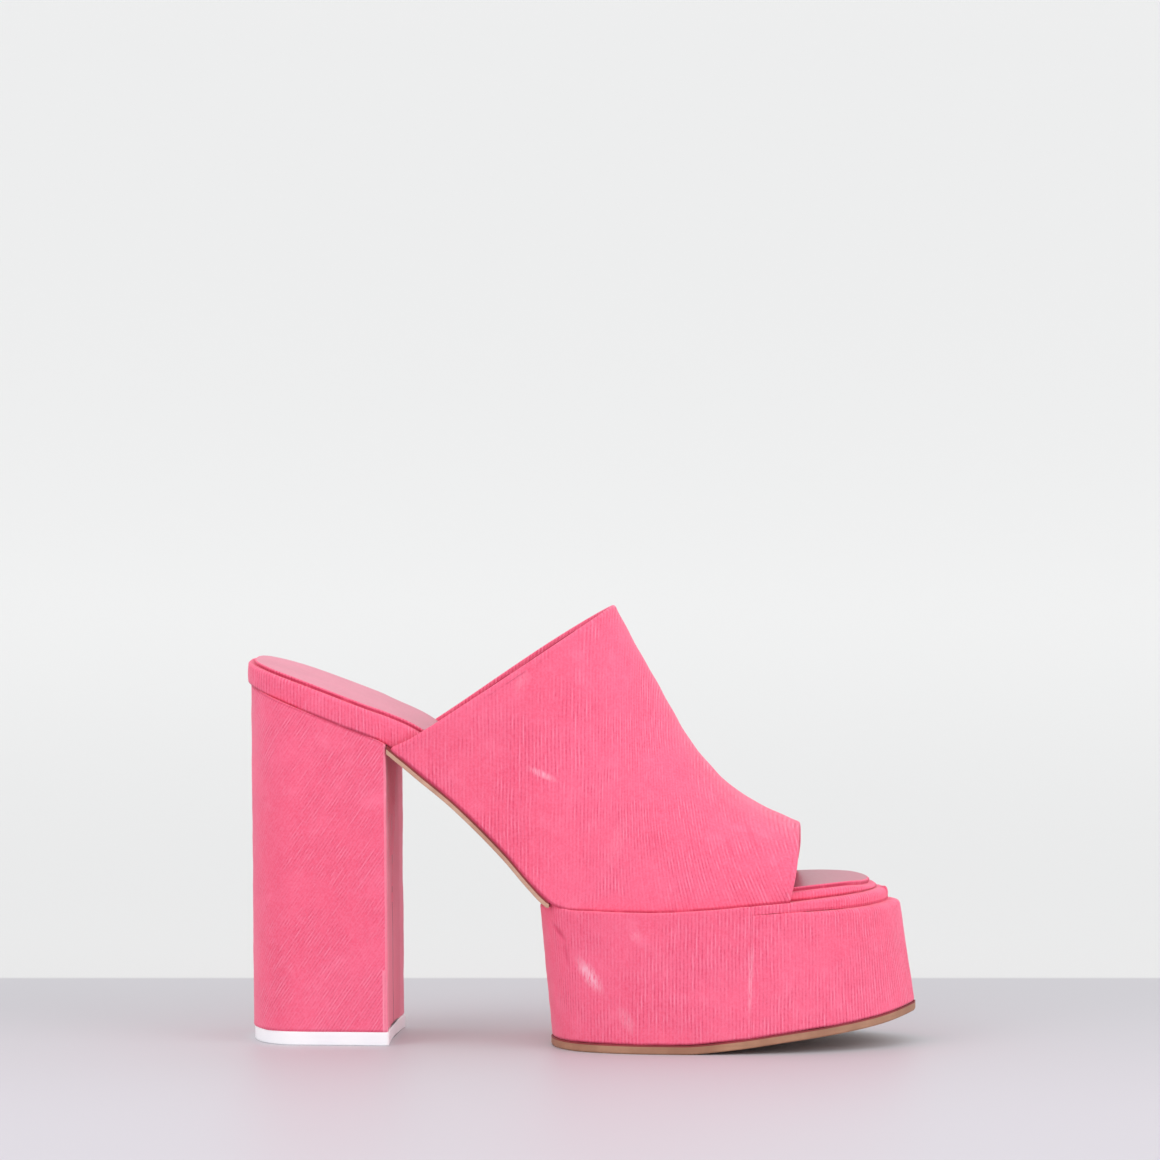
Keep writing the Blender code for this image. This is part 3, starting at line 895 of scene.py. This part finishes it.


# Scuffs, and creases dark with painted shade: a place, three radii, a tilt and a strength
UPPER_SCUFFS = (
    ((0.0760, -0.030, 0.0925), (0.0075, 0.02, 0.0016), 0.42, 0.75),
    ((0.0690, -0.030, 0.1235), (0.0034, 0.02, 0.0058), 0.35, 0.24),
    ((0.1020, -0.040, 0.0700), (0.0040, 0.02, 0.0110), 0.35, 0.14),
)
PLATFORM_SCUFFS = (
    ((0.0930, -0.045, 0.0262), (0.0034, 0.03, 0.0092), -0.66, 1.0),
    ((0.1060, -0.045, 0.0110), (0.0030, 0.03, 0.0070), -0.50, 0.35),
    ((0.1475, -0.045, 0.0250), (0.0012, 0.03, 0.0170), 0.04, 0.55),
    ((0.1090, -0.045, 0.0400), (0.0030, 0.03, 0.0030), 0.00, 0.25),
)
PLATFORM_SHADED_CREASES = (
    ((0.0822, -0.045, 0.0400), (0.0013, 0.03, 0.0056), -0.72, 0.80),
    ((0.0850, -0.045, 0.0325), (0.0011, 0.03, 0.0070), -0.20, 0.42),
)
UPPER_SHADED_CREASES = (
    ((0.1465, -0.030, 0.0730), (0.0008, 0.03, 0.0075), -0.55, 0.22),
    ((0.1395, -0.030, 0.0700), (0.0008, 0.03, 0.0085), -0.42, 0.20),
    ((0.1270, -0.030, 0.0720), (0.0009, 0.03, 0.0090), -0.30, 0.16),
)
ribbed = cloth("ribbed_cloth", lines=(0.75, 0.0), seams=True, scuffs=UPPER_SCUFFS, shaded_creases=UPPER_SHADED_CREASES)
platform_cloth = cloth("platform_cloth", lines=(0.5, 0.0), plain=0.0165, scuffs=PLATFORM_SCUFFS,
                       shaded_creases=PLATFORM_SHADED_CREASES)
rand_cloth = cloth("rand_cloth", lines=(0.6, 0.0))
lip_cloth = cloth("lip_cloth", lines=(0.5, 0.0), fade=(0.150, 0.172))
piping = cloth("piping_cloth", lines=(0.75, 0.0))
heel_cloth = cloth("heel_cloth", TWILL_PITCH, twill=TWILL_SLANT, lines=(0.25, 0.4))
lining = leather("lining", rgba(205, 58, 92), rgba(214, 78, 110), 0.55, 1100.0)
sock = leather("sock_leather", rgba(230, 108, 140), rgba(220, 98, 130), 0.36, 1000.0,
               coat=0.25, toe=rgba(186, 78, 104))
tan = leather("sole_leather", rgba(184, 138, 110), rgba(158, 110, 86), 0.55, 700.0, streak=True)
waist_tan = leather("waist_leather", rgba(212, 172, 148), rgba(186, 138, 116), 0.55, 700.0,
                    streak=True)
# Dark glue where the pieces meet, darkened further as painted shade of the joint
glue_and_shade = leather("glue_and_shade_line", rgba(150, 52, 58), rgba(122, 42, 44), 0.6)
tip_white = white_rubber()
breast = breast_cloth()


def cloth_waves(strength, seed, size=0.016):
    """Small soft unevenness of glued cloth, in metres."""
    def push(points, u, v):
        return strength * (noise3(points, size, seed) + 0.5 * noise3(points, size * 0.4, seed + 1))
    return push


def build_heel():
    flat = heel_plan(0)
    tip = slab("tip", flat, flat, lambda x: 0 * x, tip_top, [tip_white], 0.0004, 0.0003, walls=3)
    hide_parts("heel_tip")

    def front(centres, spots):
        return np.where((spots == 1) & (centres[:, 0] > BREAST - 0.0006), 1, 0)

    block = slab("heel", heel_plan(TIP_SETBACK), heel_plan(TIP_SETBACK + HEEL_LEAN), tip_top, seat,
                 [heel_cloth, breast], 0.0005, 0.0005, walls=90,
                 ruffle=cloth_waves(0.00011, 3), paint=front)
    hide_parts("heel_block")


def build_soles():
    foot = sheared_back(platform_plan(stations(PLATFORM_BACK, TOE_TIP, 150, 0.5, 0.7), 30))

    # The top of the sole's wall is painted dark: glue and painted shade of the joint
    def glued(centres, spots):
        return np.where(centres[:, 2] > sole_top(centres[:, 0]) - 0.00045, 1, 0)

    sole = slab("sole", foot, foot, ground, sole_top, [tan, glue_and_shade], 0.0006, 0.0003, paint=glued)
    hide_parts("outsole")
    xs = stations(BREAST + GAP, WAIST_STEP[1], 120)
    strip = foot_plan(xs, 20)

    # The top of the waist sole's wall is painted dark: glue and painted shade of the joint
    def seam_shaded(centres, spots):
        slope = steepness(seat, centres[:, 0])
        return np.where(centres[:, 2] > seat(centres[:, 0]) - 0.0008 * slope, 1, 0)

    waist = slab("waist", strip, strip, waist_low, seat, [waist_tan, glue_and_shade], 0.0002, 0.0002,
                 walls=8, paint=seam_shaded)
    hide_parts("waist_sole")


def build_platform():
    xs = stations(PLATFORM_BACK, TOE_TIP, 170, 0.5, 0.8)
    xs = np.sort(np.concatenate([xs, WAIST_STEP, RIM_STEP]))
    base = platform_plan(xs, 30)
    low = drawn_in(sheared_back(base), 0.0004)
    high = base.copy()
    high[..., 0] -= toe_lean(base[..., 0])
    i, j = border(base.shape[0], base.shape[1] - 1)
    along = base[i, j][:, 0]
    toe = ramp(along, RIM_BACK + 0.004, TOE_TIP - 0.006)
    lip_start = ramp(along, RIM_BACK - 0.006, RIM_BACK) * (1 - ramp(along, RIM_BACK, RIM_BACK + 0.014))
    over_edge = 0.0005 + TOE_ROUNDING * toe - 0.0004 * lip_start
    block = slab("platform_body", low, high, sole_top, platform_top, [platform_cloth], 0.0007, over_edge,
                 walls=44, skirt=0.004, ruffle=cloth_waves(0.00013, 11))
    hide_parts("platform")
    xs = stations(RIM_BACK - 0.0009, TOE_TIP, 90, 0.0, 0.9)
    rim = platform_plan(xs, 30)
    rim[..., 0] -= toe_lean(rim[..., 0])
    i, j = border(rim.shape[0], rim.shape[1] - 1)
    ledge = RIM_LEDGE * (0.03 + 0.97 * ramp(xs[i], RIM_BACK, TOE_TIP))
    ledge[i == 0] = 0
    rim = drawn_in(rim, ledge)
    toe = ramp(rim[i, j][:, 0], RIM_BACK + 0.004, TOE_TIP - 0.008)
    lip_edge = 0.0003 + TOE_ROUNDING * toe
    lip = slab("toe_lip", rim, rim, rim_low, seat, [lip_cloth], 0.0003, lip_edge,
               walls=8, skirt=0.0015, ruffle=cloth_waves(0.00013, 11))
    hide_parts("platform_rim")


def build_bed():
    xs = stations(HEEL_BACK, place(BED_END), 190, 0.5, 0.6)
    foot = foot_plan(xs, 26)
    upper_start = place(ARCHES["base"][0])
    i, j = border(len(xs), 26)
    inside = (WALL + 4 * GAP) * ramp(xs[i], upper_start - BOARD_NARROWING, upper_start - GAP)
    curve = ramp(xs[i], place(0.38), place(0.43)) * (1 - ramp(xs[i], place(0.50), place(0.55)))
    inside += 5 * GAP * curve
    board = drawn_in(foot, inside)
    round_over = 0.0013 - 0.0003 * ramp(board[i, j][:, 0], place(0.85), place(0.93))
    rand = slab("rand", board, board, seat, bed_top, [rand_cloth], 0.0006, round_over, walls=12,
                bulge=0.0001, skirt=0.0012, ruffle=cloth_waves(0.00009, 23))
    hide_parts("board")
    cover = drawn_in(board, INSOLE_MARGIN)

    def wrapped(centres, spots):
        return np.where(spots == 1, 1, 0)

    bed = slab("sock", cover, cover, bed_top, sock_top, [sock, piping], 0.0002, 0.0006, walls=4,
               paint=wrapped, ruffle=cloth_waves(0.00003, 29))
    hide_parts("insole")


def arch(base, ridge, rise, fullness, columns):
    """One arch of the upper: evenly spaced points from the near base over the ridge to the far base."""
    x = place(base)
    near = np.array([x, column(FOOT, "near", x) * BALL_WIDTH, seat(x) + GAP])
    x = x - TOE_SKEW * ramp(base, 0.6, 0.83)
    far = np.array([x, column(FOOT, "far", x) * BALL_WIDTH, seat(x) + GAP])
    middle = (near + far) / 2
    height = PLATFORM_HEIGHT + rise * (INSTEP_HEIGHT - PLATFORM_HEIGHT)
    crown = np.array([place(ridge), middle[1] * 0.6, height])
    angle = np.linspace(0, np.pi, 721)[:, None]
    aside = -np.cos(angle)
    up = np.sin(angle) ** (2 / fullness)
    lean = crown - middle
    outwards = np.array([-lean[2], 0, lean[0]]) / np.hypot(lean[0], lean[2])
    rise_far = np.where(aside < 0, 0, COLLAR_RISE) * np.sin(np.pi * up**1.5)
    bow = (rise_far - COLLAR_DIP * np.sin(np.pi * up**0.4)) * (1 - ramp(base, 0.224, 0.42))
    bow -= TOE_BOW * np.sin(np.pi * up) * ramp(base, 0.70, 0.8245)
    dense = middle + (far - near) / 2 * aside + lean * up + outwards * bow
    run = np.concatenate([[0], np.cumsum(np.linalg.norm(np.diff(dense, axis=0), axis=1))])
    even = np.linspace(0, run[-1], columns + 1)
    return np.stack([np.interp(even, run, dense[:, k]) for k in range(3)], 1)


def rib_place(points):
    """Where a point lies across the upper's ribs, which stand upright at its back and lean at its front."""
    lean = 0.42 * ramp(points[..., 0], 0.090, 0.150)
    return points[..., 0] + lean * (points[..., 2] - PLATFORM_HEIGHT)


def build_upper(rings=150, columns=230):
    """The band, with rounded edges round its collar and toe, its turned cloth and its lining."""
    last = len(ARCHES["base"]) - 1
    close = np.array([0, 0.004, 0.012, 0.024, 0.042, 0.066, 0.098])
    rows = np.concatenate([close, np.linspace(0.13, last - 0.13, rings - 14), last - close[::-1]])
    number = np.arange(len(ARCHES["base"]))
    reach = np.minimum(0.7, np.minimum(rows, last - rows))
    shape = [
        np.mean([smooth(number, values, rows + step * reach) for step in np.linspace(-1, 1, 9)], axis=0)
        for values in ARCHES.values()
    ]
    outer = np.array([arch(*one, columns) for one in zip(*shape)])
    normal = np.cross(np.gradient(outer, axis=0), np.gradient(outer, axis=1))
    normal /= np.linalg.norm(normal, axis=2)[..., None]
    step = np.linalg.norm(np.diff(outer, axis=0), axis=2)
    from_top = np.concatenate([0 * step[:1], np.cumsum(step, axis=0)])
    from_toe = from_top[-1:] - from_top
    nearest = np.minimum(from_top, from_toe)
    half = WALL / 2 * np.sqrt(1 - (1 - np.clip(nearest / UPPER_ROUNDING, 0, 1)) ** 2)
    middle = outer - normal * WALL / 2
    height = outer[..., 2] - seat(outer[..., 0])
    free = ramp(height, 0.001, 0.008)
    waves = 0.00022 * noise3(outer, 0.030, 41) + 0.00012 * noise3(outer, 0.010, 43)
    push = waves * free
    hem = 0.00008 * (1 - ramp(from_top, HEM_FROM_TOPLINE - 0.0004, HEM_FROM_TOPLINE + 0.0005))
    hem += 0.00012 * (1 - ramp(from_toe, HEM_FROM_TOE - 0.0004, HEM_FROM_TOE + 0.0005))
    skins = [
        middle + normal * (half + push + hem)[..., None],
        middle - normal * (half - 0.7 * push)[..., None],
    ]
    # The band's feet reach just into what they stand on
    for skin in skins:
        for side in (0, -1):
            skin[:, side, 2] = seat(skin[:, side, 0]) - 0.0002
    run = np.linalg.norm(np.diff(outer, axis=1), axis=2)
    over = np.concatenate([0 * run[:, :1], np.cumsum(run, axis=1)], 1)
    rib = rib_place(outer)
    count = rings * (columns + 1)
    number = np.arange(count).reshape(rings, columns + 1)
    faces = []
    slots = []
    cloth_uv = []
    edge_uv = []
    seam_uv = []
    to_base = np.minimum(over, over[:, -1:] - over)
    for skin in range(2):
        for a in range(rings - 1):
            for b in range(columns):
                ring = [(a, b), (a + 1, b), (a + 1, b + 1), (a, b + 1)]
                if skin:
                    ring = ring[::-1]
                faces.append(tuple(int(number[r]) + skin * count for r in ring))
                cloth_uv += [(rib[r], over[r]) for r in ring]
                edge_uv += [(from_top[r] + 0.01 * skin, from_toe[r] + 0.01 * skin) for r in ring]
                seam_uv += [(to_base[r], 1.0) for r in ring]
                slots.append(1 if skin and nearest[a, b] > LINING_INSET else 0)
    i, j = border(rings, columns)
    for k in range(len(i)):
        n = (k + 1) % len(i)
        first, second = (i[k], j[k]), (i[n], j[n])
        one, two = int(number[first]), int(number[second])
        faces.append((one, two, two + count, one + count))
        cloth_uv += [(rib[r], over[r]) for r in (first, second, second, first)]
        edge_uv += [(from_top[r] + 0.01, from_toe[r] + 0.01) for r in (first, second, second, first)]
        seam_uv += [(1.0, 1.0)] * 4
        slots.append(0)
    points = np.concatenate([skins[0].reshape(-1, 3), skins[1].reshape(-1, 3)])
    maps = {"Cloth": cloth_uv, "Edges": edge_uv, "Seam": seam_uv}
    band = mesh_object("band", points, faces, maps, [ribbed, lining], slots)
    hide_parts("upper")


build_heel()
build_soles()
build_platform()
build_bed()
build_upper()


# The camera's turn round the shoe, where its view and the floor's tones are centred, and how far back
# the floor's tone changes to the wall's
SIGHT = math.radians(4.7)
VIEW_MIDDLE = 0.08652
FLOOR_MIDDLE = 0.0865
HORIZON = 0.19


def build_floor():
    """A wide plane whose tones follow the floor and, further back, the wall."""
    material, shader = new_material("floor", (0.62, 0.62, 0.625), 0.5)
    shader.inputs["Specular IOR Level"].default_value = 0.3
    place_in = add(material, "ShaderNodeTexCoord").outputs["Object"]
    split = parts_of(material, place_in)
    aside = math_node(material, "SUBTRACT", split[0], FLOOR_MIDDLE)
    deep = math_node(material, "MULTIPLY", split[1], math.cos(SIGHT))
    deep = math_node(material, "MULTIPLY_ADD", aside, -math.sin(SIGHT), deep)
    backdrop = spread(material, deep, HORIZON - 0.005, HORIZON + 0.003)
    # The wall's tone grows lighter from the floor line upwards: painted shade low on the backdrop
    up_wall = spread(material, deep, HORIZON, 2.2)
    wall = mixed(material, up_wall, (0.71, 0.71, 0.70, 1), (0.845, 0.845, 0.83, 1))
    # The floor's tone turns paler and pinker towards the front: painted pink light reflected from the shoe
    near = spread(material, deep, HORIZON, -0.25)
    ground_tone = mixed(material, near, (0.52, 0.51, 0.535, 1), (0.615, 0.585, 0.625, 1))
    colour = mixed(material, backdrop, ground_tone, wall)
    link(material, colour, shader.inputs["Base Color"])
    bpy.ops.mesh.primitive_plane_add(size=120)
    floor = bpy.context.object
    floor.name = "floor"
    floor.data.materials.append(material)


def build_lights():
    """An even bright surround with a soft light from each side."""
    world = bpy.data.worlds.new("studio")
    bpy.context.scene.world = world
    world.use_nodes = True
    back = world.node_tree.nodes["Background"]
    back.inputs["Color"].default_value = (0.93, 0.935, 0.95, 1)
    back.inputs["Strength"].default_value = 1.05
    lamps = (
        ("key", (-1.7, -1.8, 1.9), 1.8, 18),
        ("fill", (2.3, -1.2, 1.0), 2.0, 21),
    )
    for name, where, size, power in lamps:
        light = bpy.data.lights.new(name, "AREA")
        light.size = size
        light.energy = power
        lamp = bpy.data.objects.new(name, light)
        lamp.location = where
        aim = Vector((0.08, 0, 0.06)) - lamp.location
        lamp.rotation_euler = aim.to_track_quat("-Z", "Y").to_euler()
        bpy.context.scene.collection.objects.link(lamp)


def build_camera():
    """A long lens, a little above the shoe, that frames it as the photo does."""
    target = Vector((VIEW_MIDDLE, 0.0, 0.15616))
    distance = 3.5
    view_width = 0.39324
    tilt = math.radians(4.0)
    level = math.cos(tilt)
    way = Vector((math.sin(SIGHT) * level, -math.cos(SIGHT) * level, math.sin(tilt)))
    data = bpy.data.cameras.new("camera")
    data.sensor_width = 36
    data.lens = 36 * distance / view_width
    data.clip_end = 200
    camera = bpy.data.objects.new("camera", data)
    camera.location = target + way * distance
    camera.rotation_euler = (-way).to_track_quat("-Z", "Y").to_euler()
    bpy.context.scene.collection.objects.link(camera)
    bpy.context.scene.camera = camera


build_floor()
build_lights()
build_camera()
bpy.context.scene.view_settings.view_transform = "Standard"
